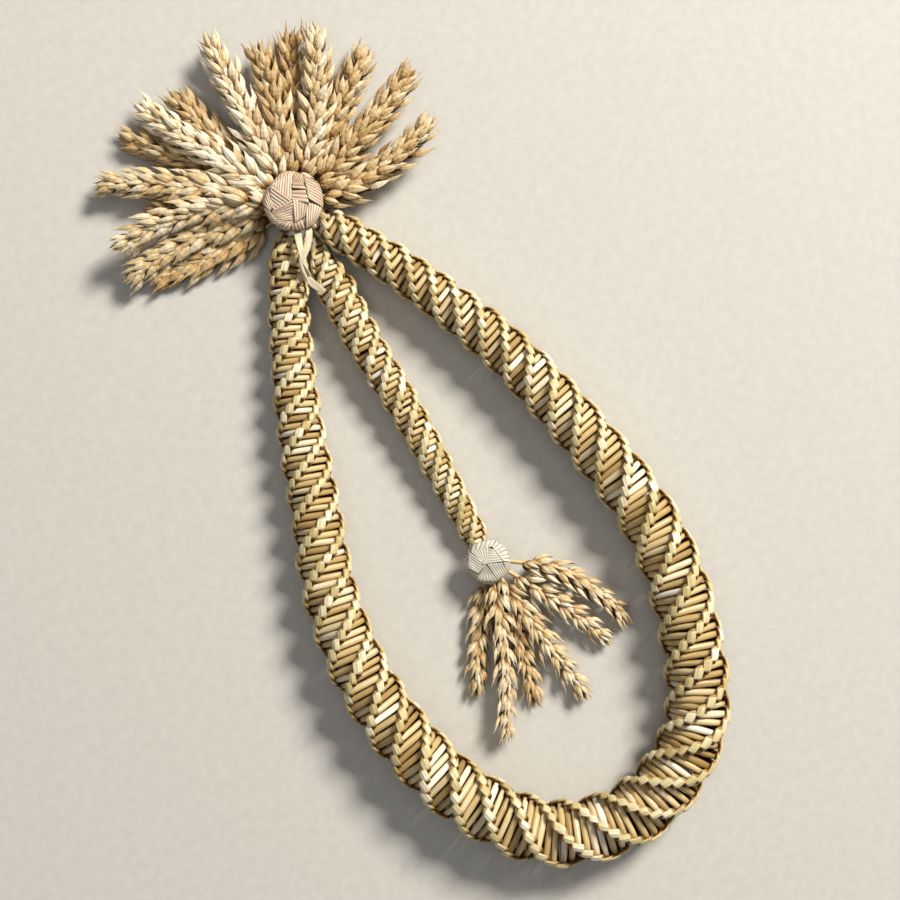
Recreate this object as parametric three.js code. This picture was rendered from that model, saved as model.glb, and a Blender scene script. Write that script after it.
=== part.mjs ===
// A straw harvest ornament, lying on its back: a drop-shaped loop of spiral plait and a
// shorter plait hanging inside it, both bound at the top under a ribbon knot with a fan of
// wheat ears, and a smaller knot with a bunch of ears at the foot of the inner plait.
// Millimetres. +Z is up, +Y points to the fan of ears, and the first lengths are measured
// from the tie at the top; the whole is then moved so that the origin lies under its middle.

import * as THREE from 'three';
import { mergeVertices } from 'three/addons/utils/BufferGeometryUtils.js';

const degrees = Math.PI / 180;
const upward = new THREE.Vector3(0, 0, 1);

// The spiral plait: four ridges that climb round it.
const plait = {
  corners: 8, // two for each ridge
  ridgeWidth: 4.2,
  stepTurn: 22.5 * degrees,
  sink: 0.05, // share of the radius pressed flat where the plait lies on the table
  pathSamples: 800,
};

// The big loop.
const loop = {
  waypoints: [
    [6, -9], [14, -22], [38, -64], [60.5, -113], [77.5, -172], [86, -224], [79.5, -276], [57, -325],
    [16, -346.5], [-28, -337.5], [-58.5, -301], [-75.5, -242], [-74, -190], [-59.5, -138],
    [-42.5, -84], [-19, -29], [-8.4, -11],
  ],
  endRadius: 9.6,
  swell: 7.2,
  quarterTurn: (radius) => 1.237 * radius, // length in which the ridges turn by 90 degrees
  taperLength: 15,
  taper: 0.5,
  firstRidge: 65 * degrees,
};

// The plait inside the loop.
const drop = {
  waypoints: [[-0.6, -15.6], [-0.8, -42], [-0.7, -74], [2.8, -117], [4.2, -158], [4.9, -197]],
  topRadius: 10.6,
  footRadius: 6.6,
  quarterTurn: () => 12.7,
  narrowing: 1.7, // above 1, most of the narrowing is near the foot
  taperLength: 34,
  taper: 0.36,
  footTaperLength: 9,
  footTaper: 0.7,
  firstRidge: 45 * degrees,
};

// Where the foot of the inner plait is tied.
const lowerTie = { x: 4.9, y: -203 };

// Ribbon knots: low domes wound from a flat band.
const knot = {
  profile: [[0.8, 0], [0.97, 0.16], [1, 0.42], [0.84, 0.8], [0.5, 1]], // shares of radius, height
  foldSides: 4,
  foldDepth: 0.05,
};
const bigKnot = { radius: 15.6, bottom: 17.6, height: 10.5, folds: 5 };
const smallKnot = { radius: 11.6, bottom: 11.4, height: 7.6, folds: 5 };

// Bound stalks under each knot.
const binding = { sides: 12, profile: [1, 0.9, 0.9, 1] };
const topBinding = { radius: 7.6, height: 17.2 };
const lowerBinding = { radius: 4.2, height: 11 };

// The band's two loose ends.
const tail = { width: 4.4, thickness: 0.9, steps: 12 };
const tailRoutes = {
  short_tail: {
    waypoints: [[-5.6, -15.8, 22], [-7.2, -22, 24], [-9.2, -29, 24], [-9.6, -37, 22]],
    roll: [-20 * degrees, 130 * degrees],
  },
  long_tail: {
    waypoints: [
      [0.6, -16.4, 20], [-3.4, -22, 19.3], [-9.4, -28, 19.6], [-11, -37, 19.2], [-6.6, -47, 19.4],
    ],
    roll: [40 * degrees, -15 * degrees],
  },
};

// Wheat ears. Each row gives, in degrees from +X, where the stalk leaves the tie and where
// the tip lies; then the tip's distance from the tie, the bow of the ear to its left, the
// heights of its foot and tip, the bare stalk's length and the roll of the ear.
const ear = {
  sides: 6,
  gap: 0.5, // from the binding to the stalk's end
  stalkRadius: 1.15,
  pitch: 4.9, // from one spikelet to the next on the other side
  topSize: { halfWidth: 6.9, halfThickness: 4 },
  lowerSize: { halfWidth: 5.4, halfThickness: 3.4 },
  notch: 0.66, // width between spikelets, as a share of the full width
  outline: { foot: 0.17, span: 0.76, lean: 0.8, fullness: 0.7 },
};
const topEars = [
  [98, 91, 98, 0, 13, 11, 14, 0],
  [74, 77, 86, -2, 12.8, 10, 18, 20],
  [44, 58, 93, -5, 13.4, 13, 14, 10],
  [71, 67.3, 91, 0, 3.4, 4.2, 30, 0],
  [29, 38.8, 90, 1, 7, 6.4, 28, 0],
  [54, 52.3, 75, -1, 3.1, 3.8, 34, 0],
  [12, 22, 93, -2, 13, 12, 17, 0],
  [-14, 5.5, 84, -7, 12.2, 10, 17, 15],
  [109, 110.5, 88, 2, 3.6, 4.4, 28, 0],
  [121, 121, 97, 1, 13, 10, 16, 0],
  [131, 132, 99, -2, 4, 4.6, 24, 20],
  [139, 147.5, 104, -3, 11.4, 9, 18, 0],
  [152, 155, 80, -1, 3.4, 4, 30, 10],
  [157, 168.5, 95, -8, 16.2, 17, 15, 30],
  [173, 177, 96, -5, 9.8, 9.6, 20, 20],
  [187, 180.5, 86, 2, 3.4, 3.6, 26, 0],
];
const lowerEars = [
  [-26, -51.6, 80, 9, 9.6, 5.1, 8, 40],
  [-52, -61, 77, 2, 8.6, 4.5, 8, 0],
  [-76.6, -80.7, 89, -1, 7.6, 4.9, 8, 10],
  [-90, -98.5, 80, 2, 3.1, 3.4, 18, 0],
  [-103, -111.5, 94, 3, 9.4, 8.4, 8, 30],
  [-128, -121, 72, -1, 4, 4, 10, 0],
];

const colours = {
  straw: new THREE.MeshStandardMaterial({ color: 0xc9a25c, roughness: 0.5, metalness: 0 }),
  wheat: new THREE.MeshStandardMaterial({ color: 0xd8c08c, roughness: 0.65, metalness: 0 }),
  ribbon: new THREE.MeshStandardMaterial({ color: 0xd9bd97, roughness: 0.55, metalness: 0 }),
  binding: new THREE.MeshStandardMaterial({ color: 0x8a5a36, roughness: 0.7, metalness: 0 }),
};

const ornament = new THREE.Group();

const weldDistance = 1e-4;

// Adds one closed solid, whose shared corners are merged, to the ornament.
function addPiece(name, geometry, material) {
  geometry.deleteAttribute('normal');
  geometry.deleteAttribute('uv');
  const solid = mergeVertices(geometry, weldDistance);
  solid.computeVertexNormals();
  const mesh = new THREE.Mesh(solid, material);
  mesh.name = name;
  ornament.add(mesh);
  return mesh;
}

// A closed solid made of rings with the same number of sides: place(ring, corner) puts each
// corner of each ring, and place(ring, null) the middle of an end.
function loft(sides, rings, place) {
  const geometry = new THREE.CylinderGeometry(1, 1, 1, sides, rings - 1, false, Math.PI / 2);
  const position = geometry.attributes.position;
  for (let i = 0; i < position.count; i += 1) {
    const x = position.getX(i);
    const z = position.getZ(i);
    const ring = Math.round((position.getY(i) + 0.5) * (rings - 1));
    const isMiddle = Math.hypot(x, z) < 0.5;
    const turned = Math.round(Math.atan2(z, x) / (2 * Math.PI / sides));
    const corner = isMiddle ? null : (turned + sides) % sides;
    const point = place(ring, corner);
    position.setXYZ(i, point.x, point.y, point.z);
  }
  return geometry;
}

// The middle of a path and its level and upright directions, at a share of its length.
function crossAxes(path, share) {
  const middle = path.getPointAt(share);
  const along = path.getTangentAt(share);
  const level = new THREE.Vector3().crossVectors(along, upward).normalize();
  const upright = new THREE.Vector3().crossVectors(level, along);
  return { middle, level, upright };
}

// A point at the given distances along a path's level and upright directions.
function offsetPoint(axes, sideways, above) {
  return axes.middle.clone().addScaledVector(axes.level, sideways).addScaledVector(axes.upright, above);
}

// A point at a given reach and angle round an upright axis.
function aroundPoint(centre, reach, angle, height) {
  const x = centre.x + reach * Math.cos(angle);
  const y = centre.y + reach * Math.sin(angle);
  return new THREE.Vector3(x, y, height);
}

// Eases from a low value to 1 over the given length.
function easeIn(distance, length, low) {
  return low + (1 - low) * THREE.MathUtils.smoothstep(distance, 0, length);
}

function loopRadius(distance, length) {
  const swollen = loop.endRadius + loop.swell * Math.sin(Math.PI * distance / length);
  const fromEnd = Math.min(distance, length - distance);
  return swollen * easeIn(fromEnd, loop.taperLength, loop.taper);
}

function dropRadius(distance, length) {
  const share = (distance / length) ** drop.narrowing;
  const straight = THREE.MathUtils.lerp(drop.topRadius, drop.footRadius, share);
  const foot = easeIn(length - distance, drop.footTaperLength, drop.footTaper);
  return straight * easeIn(distance, drop.taperLength, drop.taper) * foot;
}

// Steps along a plait, close enough that each one turns the section by the same amount.
function plaitStations(length, shape, radiusAt) {
  const distances = [0];
  while (distances.at(-1) < length) {
    const here = distances.at(-1);
    const quarter = shape.quarterTurn(radiusAt(here, length));
    distances.push(here + quarter * plait.stepTurn / (90 * degrees));
  }
  const overshoot = distances.at(-1) / length;
  return distances.map((distance) => Math.min(distance / overshoot, length));
}

// A spiral plait as a square section with blunt corners, turned evenly along its path.
function makePlait(name, shape, radiusAt) {
  const points = shape.waypoints.map(([x, y]) => new THREE.Vector3(x, y, 0));
  const route = new THREE.CatmullRomCurve3(points);
  route.arcLengthDivisions = plait.pathSamples;
  const length = route.getLength();
  const stations = plaitStations(length, shape, radiusAt);
  const place = (ring, corner) => {
    const radius = radiusAt(stations[ring], length);
    const axes = crossAxes(route, stations[ring] / length);
    axes.middle.z += radius * (1 - plait.sink);
    if (corner === null) return axes.middle;
    const ridge = Math.floor(corner / 2) * 90 * degrees;
    const blunt = Math.asin(plait.ridgeWidth / 2 / radius) * (corner % 2 ? 1 : -1);
    const angle = shape.firstRidge + ridge + blunt - ring * plait.stepTurn;
    const point = offsetPoint(axes, radius * Math.cos(angle), radius * Math.sin(angle));
    point.z = Math.max(point.z, 0);
    return point;
  };
  addPiece(name, loft(plait.corners, stations.length, place), colours.straw);
}

// A ribbon knot: a low dome with swirling folds, flat underneath.
function makeKnot(name, shape, centre) {
  const sides = shape.folds * knot.foldSides;
  const place = (ring, corner) => {
    const [share, rise] = knot.profile[ring];
    const height = shape.bottom + shape.height * rise;
    if (corner === null) return new THREE.Vector3(centre.x, centre.y, height);
    const angle = -corner * 2 * Math.PI / sides;
    const fold = (corner + ring) % knot.foldSides / (knot.foldSides - 1);
    const reach = shape.radius * share * (1 - knot.foldDepth * fold);
    return aroundPoint(centre, reach, angle, height);
  };
  addPiece(name, loft(sides, knot.profile.length, place), colours.ribbon);
}

// A waisted bundle of bound stalks, standing on the table.
function makeBinding(name, shape, centre) {
  const rings = binding.profile.length;
  const place = (ring, corner) => {
    const height = shape.height * ring / (rings - 1);
    if (corner === null) return new THREE.Vector3(centre.x, centre.y, height);
    const angle = -corner * 2 * Math.PI / binding.sides;
    return aroundPoint(centre, shape.radius * binding.profile[ring], angle, height);
  };
  addPiece(name, loft(binding.sides, rings, place), colours.binding);
}

// One loose end of the band: a flat strip that rolls over as it falls.
function makeTail(name, route) {
  const points = route.waypoints.map((point) => new THREE.Vector3(...point));
  const path = new THREE.CatmullRomCurve3(points);
  const place = (ring, corner) => {
    const share = ring / tail.steps;
    const axes = crossAxes(path, share);
    if (corner === null) return axes.middle;
    const roll = THREE.MathUtils.lerp(route.roll[0], route.roll[1], share);
    const across = (corner === 0 || corner === 3 ? 0.5 : -0.5) * tail.width;
    const over = (corner < 2 ? 0.5 : -0.5) * tail.thickness;
    const sideways = across * Math.cos(roll) - over * Math.sin(roll);
    const above = across * Math.sin(roll) + over * Math.cos(roll);
    return offsetPoint(axes, sideways, above);
  };
  addPiece(name, loft(4, tail.steps + 1, place), colours.ribbon);
}

// The outline of an ear: half as wide at its foot, full at two fifths, and narrow at the tip.
function earSwell(share) {
  const { foot, span, lean, fullness } = ear.outline;
  return Math.sin(Math.PI * (foot + span * share ** lean)) ** fullness;
}

// A wheat ear on its stalk: spikelets stand out to the left and right in turn.
function makeEar(name, row, size, centre, startRadius) {
  const [leave, toward, reach, bow, footHeight, tipHeight, bare, roll] = row;
  const start = new THREE.Vector3(Math.cos(leave * degrees), Math.sin(leave * degrees), 0);
  start.multiplyScalar(startRadius).setZ(footHeight);
  const tip = new THREE.Vector3(Math.cos(toward * degrees), Math.sin(toward * degrees), 0);
  tip.multiplyScalar(reach).setZ(tipHeight);
  const middle = start.clone().lerp(tip, 0.5);
  const leftward = new THREE.Vector3().crossVectors(upward, tip.clone().sub(start)).normalize();
  middle.addScaledVector(leftward, 2 * bow);
  middle.z = Math.max(footHeight, tipHeight);
  const path = new THREE.QuadraticBezierCurve3(start, middle, tip);
  const length = path.getLength();
  const spikelets = Math.round((length - bare) / ear.pitch);
  const place = (ring, corner) => {
    const share = Math.max(ring - 1, 0) / spikelets;
    const distance = ring === 0 ? 0 : bare + (length - bare) * share;
    const axes = crossAxes(path, distance / length);
    axes.middle.add(centre);
    if (corner === null) return axes.middle;
    const angle = corner * 2 * Math.PI / ear.sides;
    const isRight = corner === 0 || corner === 1 || corner === 5;
    const standsOut = isRight === (ring % 2 === 0);
    const swell = earSwell(share) * (standsOut ? 1 : ear.notch);
    const halfWidth = ring < 2 ? ear.stalkRadius : size.halfWidth * swell;
    const halfThickness = ring < 2 ? ear.stalkRadius : size.halfThickness * earSwell(share);
    const across = halfWidth * Math.cos(angle);
    const over = halfThickness * Math.sin(angle);
    const turn = ring < 2 ? 0 : roll * degrees;
    const sideways = across * Math.cos(turn) - over * Math.sin(turn);
    const above = across * Math.sin(turn) + over * Math.cos(turn);
    const point = offsetPoint(axes, sideways, above);
    point.z = Math.max(point.z, 0);
    return point;
  };
  addPiece(name, loft(ear.sides, spikelets + 2, place), colours.wheat);
}

function makeEars(prefix, rows, size, centre, startRadius) {
  rows.forEach((row, index) => {
    const number = String(index + 1).padStart(2, '0');
    makeEar(`${prefix}_${number}`, row, size, centre, startRadius);
  });
}

const tieCentre = new THREE.Vector3(0, 0, 0);
const lowerCentre = new THREE.Vector3(lowerTie.x, lowerTie.y, 0);
makePlait('loop_plait', loop, loopRadius);
makePlait('drop_plait', drop, dropRadius);
makeBinding('top_binding', topBinding, tieCentre);
makeBinding('lower_binding', lowerBinding, lowerCentre);
makeKnot('big_knot', bigKnot, tieCentre);
makeKnot('small_knot', smallKnot, lowerCentre);
Object.entries(tailRoutes).forEach(([name, route]) => makeTail(name, route));
makeEars('top_ear', topEars, ear.topSize, tieCentre, topBinding.radius + ear.gap);
makeEars('lower_ear', lowerEars, ear.lowerSize, lowerCentre, lowerBinding.radius + ear.gap);

const middle = new THREE.Box3().setFromObject(ornament).getCenter(new THREE.Vector3());
ornament.position.set(-middle.x, -middle.y, 0);

export default ornament;
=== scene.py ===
import math

import bpy
import numpy as np
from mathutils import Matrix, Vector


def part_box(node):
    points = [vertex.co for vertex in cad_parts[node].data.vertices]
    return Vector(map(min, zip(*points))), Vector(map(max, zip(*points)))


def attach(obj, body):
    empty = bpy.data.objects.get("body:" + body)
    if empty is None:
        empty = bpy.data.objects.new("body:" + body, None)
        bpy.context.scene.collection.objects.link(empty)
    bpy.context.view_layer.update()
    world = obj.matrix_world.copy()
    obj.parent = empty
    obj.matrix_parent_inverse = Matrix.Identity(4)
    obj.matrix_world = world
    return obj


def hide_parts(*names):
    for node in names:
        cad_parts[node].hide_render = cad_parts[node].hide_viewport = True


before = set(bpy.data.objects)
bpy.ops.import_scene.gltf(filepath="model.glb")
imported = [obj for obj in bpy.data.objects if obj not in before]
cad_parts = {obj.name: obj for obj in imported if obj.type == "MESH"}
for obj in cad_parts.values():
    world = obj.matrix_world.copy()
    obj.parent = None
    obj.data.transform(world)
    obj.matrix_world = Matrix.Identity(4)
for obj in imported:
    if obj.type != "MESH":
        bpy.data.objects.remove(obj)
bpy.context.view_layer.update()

# A straw harvest ornament lying on its back. Lengths are worked out in millimetres and turned
# to metres when a mesh is made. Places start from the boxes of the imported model's nodes.
millimetre = 0.001
rng = np.random.default_rng(20)


def middleOf(node):
    # The middle of a node's box, in millimetres.
    low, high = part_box(node)
    return np.array([(a + b) / 2 / millimetre for a, b in zip(low, high)])


tieMiddle = middleOf("top_binding")
lowerMiddle = middleOf("lower_binding")


# --- shapes shared by every piece ---

def unit(vectors):
    return vectors / np.maximum(np.linalg.norm(vectors, axis=-1, keepdims=True), 1e-12)


def smoothStep(x):
    x = np.clip(x, 0, 1)
    return x * x * (3 - 2 * x)


def turned(degreesAbout):
    return np.cos(np.radians(degreesAbout)), np.sin(np.radians(degreesAbout))


def smoothRoute(points, perSpan=60):
    # A curve through the points. Each span is a cubic whose end slopes come from the points
    # on both sides, with the points spaced by the square root of their distances.
    p = np.asarray(points, float)
    p = np.vstack([2 * p[0] - p[1], p, 2 * p[-1] - p[-2]])
    a, b, c, d = p[:-3], p[1:-2], p[2:-1], p[3:]
    pairs = ((a, b), (b, c), (c, d))
    gapA, gapB, gapC = (np.sqrt(np.linalg.norm(v - u, axis=1))[:, None] for u, v in pairs)
    slopeB = ((b - a) / gapA - (c - a) / (gapA + gapB) + (c - b) / gapB) * gapB
    slopeC = ((c - b) / gapB - (d - b) / (gapB + gapC) + (d - c) / gapC) * gapB
    t = np.linspace(0, 1, perSpan, endpoint=False)[None, :, None]
    b, c, slopeB, slopeC = (v[:, None, :] for v in (b, c, slopeB, slopeC))
    curve = b + slopeB * t + (-3 * b + 3 * c - 2 * slopeB - slopeC) * t ** 2
    curve = curve + (2 * b - 2 * c + slopeB + slopeC) * t ** 3
    return np.vstack([curve.reshape(-1, p.shape[1]), p[-2][None]])


def distanceAlong(route):
    steps = np.linalg.norm(np.diff(route, axis=0), axis=1)
    return np.concatenate([[0], np.cumsum(steps)])


def readAt(where, known, values):
    # Values of several columns, read off at the given places by straight steps.
    columns = [np.interp(where, known, values[:, k]) for k in range(values.shape[1])]
    return np.stack(columns, axis=-1)


def gridPart(rings, uAt, vAt, faceted=False, **marks):
    # A surface of rings of points: a four-sided face between each pair of neighbours, round
    # and along, and a fan of triangles to a middle point at each end.
    count, sides = rings.shape[:2]
    row = np.arange(count - 1)[:, None] * sides
    col = np.arange(sides)[None, :]
    nextCol = (col + 1) % sides
    quads = np.stack([row + col, row + sides + col, row + sides + nextCol, row + nextCol], -1)
    quads = quads.reshape(-1, 4)
    shape = (count - 1, sides)
    u0, u1, v0, v1 = uAt[:-1][:, None], uAt[1:][:, None], vAt[col], vAt[col + 1]
    quadUv = np.stack([np.stack([np.broadcast_to(u, shape), np.broadcast_to(v, shape)], -1)
                       for u, v in ((u0, v0), (u1, v0), (u1, v1), (u0, v1))], -2).reshape(-1, 4, 2)
    verts = np.vstack([rings.reshape(-1, 3), rings[0].mean(0)[None], rings[-1].mean(0)[None]])
    marks = {name: np.broadcast_to(value, (count, sides)).reshape(-1)
             for name, value in marks.items()}
    marks = {name: np.concatenate([value, [value[0], value[-1]]]) for name, value in marks.items()}
    here = np.arange(sides)
    following = (here + 1) % sides
    start, first, last = (count - 1) * sides, count * sides, count * sides + 1
    tris = np.vstack([np.stack([np.full(sides, first), here, following], -1),
                      np.stack([np.full(sides, last), start + following, start + here], -1)])
    triUv = np.full((2 * sides, 3, 2), 0.5)
    triUv[:sides, :, 0], triUv[sides:, :, 0] = uAt[0], uAt[-1]
    flat = np.broadcast_to(faceted, (count,))
    smooth = np.repeat(~(flat[1:] & flat[:-1]), sides)
    return {"verts": verts, "quads": quads, "tris": tris, "quadUv": quadUv, "triUv": triUv,
            "smooth": smooth, "marks": marks}


def sweepStrand(middles, outward, halfWidth, halfThick, boxy, sides, across=None, crease=1.0,
                **marks):
    # Each ring stands round a path. T is the path's direction, N the outward direction made
    # square to T, and B is T x N unless it is given. A ring point is the middle + B * width *
    # cos + N * thickness * sin, with the cosine and sine raised to a power that makes the
    # outline boxier. The crease lifts the middle of the outer side.
    if across is None:
        along = unit(np.gradient(middles, axis=0))
        normal = unit(outward - (outward * along).sum(1, keepdims=True) * along)
        across = np.cross(along, normal)
    else:
        across = unit(across)
        normal = unit(outward - (outward * across).sum(1, keepdims=True) * across)
    turn = np.arange(sides) / sides * 2 * math.pi
    c, s = np.round(np.cos(turn), 9), np.round(np.sin(turn), 9)
    power = 2 / np.broadcast_to(boxy, (len(middles),))[:, None]
    lift = 1 + (np.broadcast_to(crease, (len(middles),))[:, None] - 1) * (s > 0.99)
    x = np.sign(c) * np.abs(c) ** power * halfWidth[:, None]
    y = np.sign(s) * np.abs(s) ** power * halfThick[:, None] * lift
    rings = middles[:, None] + x[..., None] * across[:, None] + y[..., None] * normal[:, None]
    return gridPart(rings, distanceAlong(middles), np.linspace(0, 1, sides + 1), **marks)


def joinParts(parts):
    # Puts several parts into one list of points and faces.
    shift = np.cumsum([0] + [len(p["verts"]) for p in parts[:-1]])
    return {
        "verts": np.vstack([p["verts"] for p in parts]),
        "quads": np.vstack([p["quads"] + s for p, s in zip(parts, shift)]),
        "tris": np.vstack([p["tris"] + s for p, s in zip(parts, shift)]),
        "quadUv": np.vstack([p["quadUv"] for p in parts]),
        "triUv": np.vstack([p["triUv"] for p in parts]),
        "smooth": np.concatenate([p["smooth"] for p in parts]),
        "marks": {k: np.concatenate([p["marks"][k] for p in parts]) for k in parts[0]["marks"]},
    }


def buildPiece(name, parts, material, stands):
    # Makes the mesh, moves nothing, and hides the imported nodes that the piece stands for.
    whole = joinParts(parts)
    verts = whole["verts"].copy()
    verts[:, 2] = np.maximum(verts[:, 2], 0)
    mesh = bpy.data.meshes.new(name)
    corners = np.concatenate([whole["quads"].ravel(), whole["tris"].ravel()]).astype(np.int32)
    quadCount, triCount = len(whole["quads"]), len(whole["tris"])
    starts = np.concatenate([np.arange(quadCount) * 4, quadCount * 4 + np.arange(triCount) * 3])
    mesh.vertices.add(len(verts))
    mesh.vertices.foreach_set("co", (verts * millimetre).astype(np.float32).ravel())
    mesh.loops.add(len(corners))
    mesh.loops.foreach_set("vertex_index", corners)
    mesh.polygons.add(quadCount + triCount)
    mesh.polygons.foreach_set("loop_start", starts.astype(np.int32))
    mesh.update(calc_edges=True)
    smooth = np.concatenate([whole["smooth"], np.ones(triCount, bool)])
    mesh.polygons.foreach_set("use_smooth", smooth)
    uvLayer = mesh.uv_layers.new(name="strandUv")
    uvs = np.concatenate([whole["quadUv"].ravel(), whole["triUv"].ravel()])
    uvLayer.data.foreach_set("uv", uvs.astype(np.float32))
    for mark, values in whole["marks"].items():
        layer = mesh.attributes.new(mark, "FLOAT", "POINT")
        layer.data.foreach_set("value", np.asarray(values, np.float32))
    mesh.materials.append(material)
    piece = bpy.data.objects.new(name, mesh)
    bpy.context.collection.objects.link(piece)
    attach(piece, "root")
    if stands:
        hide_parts(*stands)
    return piece


# --- finishes ---

def paint(code):
    # A colour written in hexadecimal, as the linear numbers that a shader reads.
    parts = np.array([int(code[i:i + 2], 16) / 255 for i in (1, 3, 5)])
    linear = np.where(parts <= 0.04045, parts / 12.92, ((parts + 0.055) / 1.055) ** 2.4)
    return (*linear, 1.0)


class NodeBoard:
    # Short calls for laying out a material's nodes.
    def __init__(self, name):
        self.material = bpy.data.materials.new(name)
        self.material.use_nodes = True
        self.tree = self.material.node_tree
        self.shader = self.tree.nodes["Principled BSDF"]

    def add(self, kind, inputs=None, **settings):
        node = self.tree.nodes.new(kind)
        for key, value in settings.items():
            setattr(node, key, value)
        for key, value in (inputs or {}).items():
            self.feed(node, key, value)
        return node

    def feed(self, node, key, value):
        if isinstance(value, bpy.types.NodeSocket):
            self.tree.links.new(value, node.inputs[key])
        else:
            node.inputs[key].default_value = value

    def mark(self, name):
        return self.add("ShaderNodeAttribute", attribute_name=name).outputs["Fac"]

    def ramp(self, factor, stops):
        node = self.add("ShaderNodeValToRGB", {"Fac": factor})
        while len(node.color_ramp.elements) < len(stops):
            node.color_ramp.elements.new(0.5)
        for element, (place, colour) in zip(node.color_ramp.elements, stops):
            element.position = place
            element.color = colour
        return node.outputs["Color"]

    def remap(self, value, low, high, fromLow=0.0, fromHigh=1.0):
        ends = {"Value": value, "From Min": fromLow, "From Max": fromHigh,
                "To Min": low, "To Max": high}
        return self.add("ShaderNodeMapRange", ends).outputs["Result"]

    def maths(self, operation, a, b=0.0):
        return self.add("ShaderNodeMath", {0: a, 1: b}, operation=operation).outputs[0]

    def blend(self, factor, a, b, kind="MIX"):
        node = self.add("ShaderNodeMix", {"Factor": factor}, data_type="RGBA", blend_type=kind)
        self.feed(node, 6, a)
        self.feed(node, 7, b)
        return node.outputs[2]

    def noise(self, vector, scale, detail=2.0, roughness=0.5):
        inputs = {"Vector": vector, "Scale": scale, "Detail": detail, "Roughness": roughness}
        return self.add("ShaderNodeTexNoise", inputs).outputs["Fac"]

    def stretchedUv(self, alongScale, roundScale):
        uv = self.add("ShaderNodeUVMap", uv_map="strandUv").outputs["UV"]
        inputs = {"Vector": uv, "Scale": (alongScale, roundScale, 1)}
        return self.add("ShaderNodeMapping", inputs).outputs["Vector"]

    def objectPoints(self):
        return self.add("ShaderNodeTexCoord").outputs["Object"]

    def finish(self, colour, roughness, height, strength, distance, specular=0.5):
        inputs = {"Height": height, "Strength": strength, "Distance": distance}
        bump = self.add("ShaderNodeBump", inputs)
        self.feed(self.shader, "Base Color", colour)
        self.feed(self.shader, "Roughness", roughness)
        self.feed(self.shader, "Normal", bump.outputs["Normal"])
        self.shader.inputs["Specular IOR Level"].default_value = specular
        return self.material


def strawFinish():
    # Split straw: fine fibres along each strand, a tone for each bar, paler and greener folded
    # tabs, and painted shade, dark brown, where the straws go under each other and on their undersides.
    board = NodeBoard("plaitedStraw")
    fibre = board.noise(board.stretchedUv(0.1, 16), 1.0, 3.0, 0.6)
    patch = board.noise(board.objectPoints(), 45.0, 2.0)
    colour = board.ramp(board.mark("tone"), [
        (0.0, paint("#9f8452")), (0.25, paint("#b69b66")), (0.5, paint("#cab583")),
        (0.75, paint("#dccda8")), (1.0, paint("#f0eadb"))])
    patchShare = board.maths("MULTIPLY", patch, 0.6)
    toneShare = board.maths("MULTIPLY", board.mark("tone"), 0.4)
    tab = board.ramp(board.maths("ADD", patchShare, toneShare), [
        (0.3, paint("#bdb07a")), (0.5, paint("#d0c79c")), (0.72, paint("#e2dbc0"))])
    colour = board.blend(board.maths("MULTIPLY", board.mark("fold"), 0.65), colour, tab)
    streak = board.ramp(fibre, [
        (0.25, paint("#c19a62")), (0.5, paint("#fff8ea")), (1.0, paint("#ffffff"))])
    colour = board.blend(0.5, colour, streak, "MULTIPLY")
    # painted shade: dark brown where each straw goes under the tabs and on its underside
    hidden = board.ramp(board.mark("hidden"), [
        (0.0, paint("#ffffff")), (0.3, paint("#cdb28a")), (0.65, paint("#78502c")),
        (1.0, paint("#2c190b"))])
    colour = board.blend(1.0, colour, hidden, "MULTIPLY")
    roughness = board.remap(fibre, 0.28, 0.46, 0.3, 0.7)
    return board.finish(colour, roughness, fibre, 0.4, 0.0004)


def wheatFinish():
    # Dry husks: ivory to golden, browner at the foot of each scale, with painted shade on each scale's
    # underside and fine raised veins.
    board = NodeBoard("dryWheat")
    vein = board.noise(board.stretchedUv(0.05, 22), 1.0, 2.0, 0.6)
    blotch = board.noise(board.objectPoints(), 160.0, 3.0)
    tone = board.maths("ADD", board.mark("tone"), board.remap(blotch, -0.16, 0.16))
    colour = board.ramp(tone, [
        (0.0, paint("#9c7a4a")), (0.3, paint("#bd9f6e")), (0.55, paint("#d3bf96")),
        (0.8, paint("#e3dbc5")), (1.0, paint("#f2eee2"))])
    # the reach mark runs from foot to tip and is lowered on each scale's underside, so this ramp browns
    # the foot and paints shade on the underside
    foot = board.ramp(board.mark("reach"), [
        (0.0, paint("#5a3c20")), (0.16, paint("#c2a070")), (0.38, paint("#fff6e4")),
        (0.85, paint("#ffffff")), (1.0, paint("#efdcb4"))])
    colour = board.blend(0.95, colour, foot, "MULTIPLY")
    line = board.ramp(vein, [(0.34, paint("#94703f")), (0.54, paint("#ffffff"))])
    colour = board.blend(0.75, colour, line, "MULTIPLY")
    roughness = board.remap(vein, 0.42, 0.62, 0.3, 0.7)
    return board.finish(colour, roughness, vein, 0.5, 0.0005)


def ribbonFinish(name, light, dark, line):
    # A flat band of narrow splints: each splint has its own tone, with painted shade in the grooves
    # between splints and under each fold.
    board = NodeBoard(name)
    grain = board.noise(board.stretchedUv(0.12, 9), 1.0, 3.0, 0.6)
    grainShare = board.maths("MULTIPLY", grain, 0.7)
    tone = board.maths("ADD", grainShare, board.remap(board.mark("tone"), -0.15, 0.5))
    colour = board.ramp(tone, [(0.15, paint(dark)), (0.75, paint(light))])
    # painted shade: darker in the grooves between splints and on the undersides of the folds
    groove = board.ramp(board.mark("groove"), [(0.0, paint(line)), (0.55, paint("#ffffff"))])
    colour = board.blend(1.0, colour, groove, "MULTIPLY")
    roughness = board.remap(grain, 0.42, 0.6)
    return board.finish(colour, roughness, grain, 0.3, 0.0003)


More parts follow.
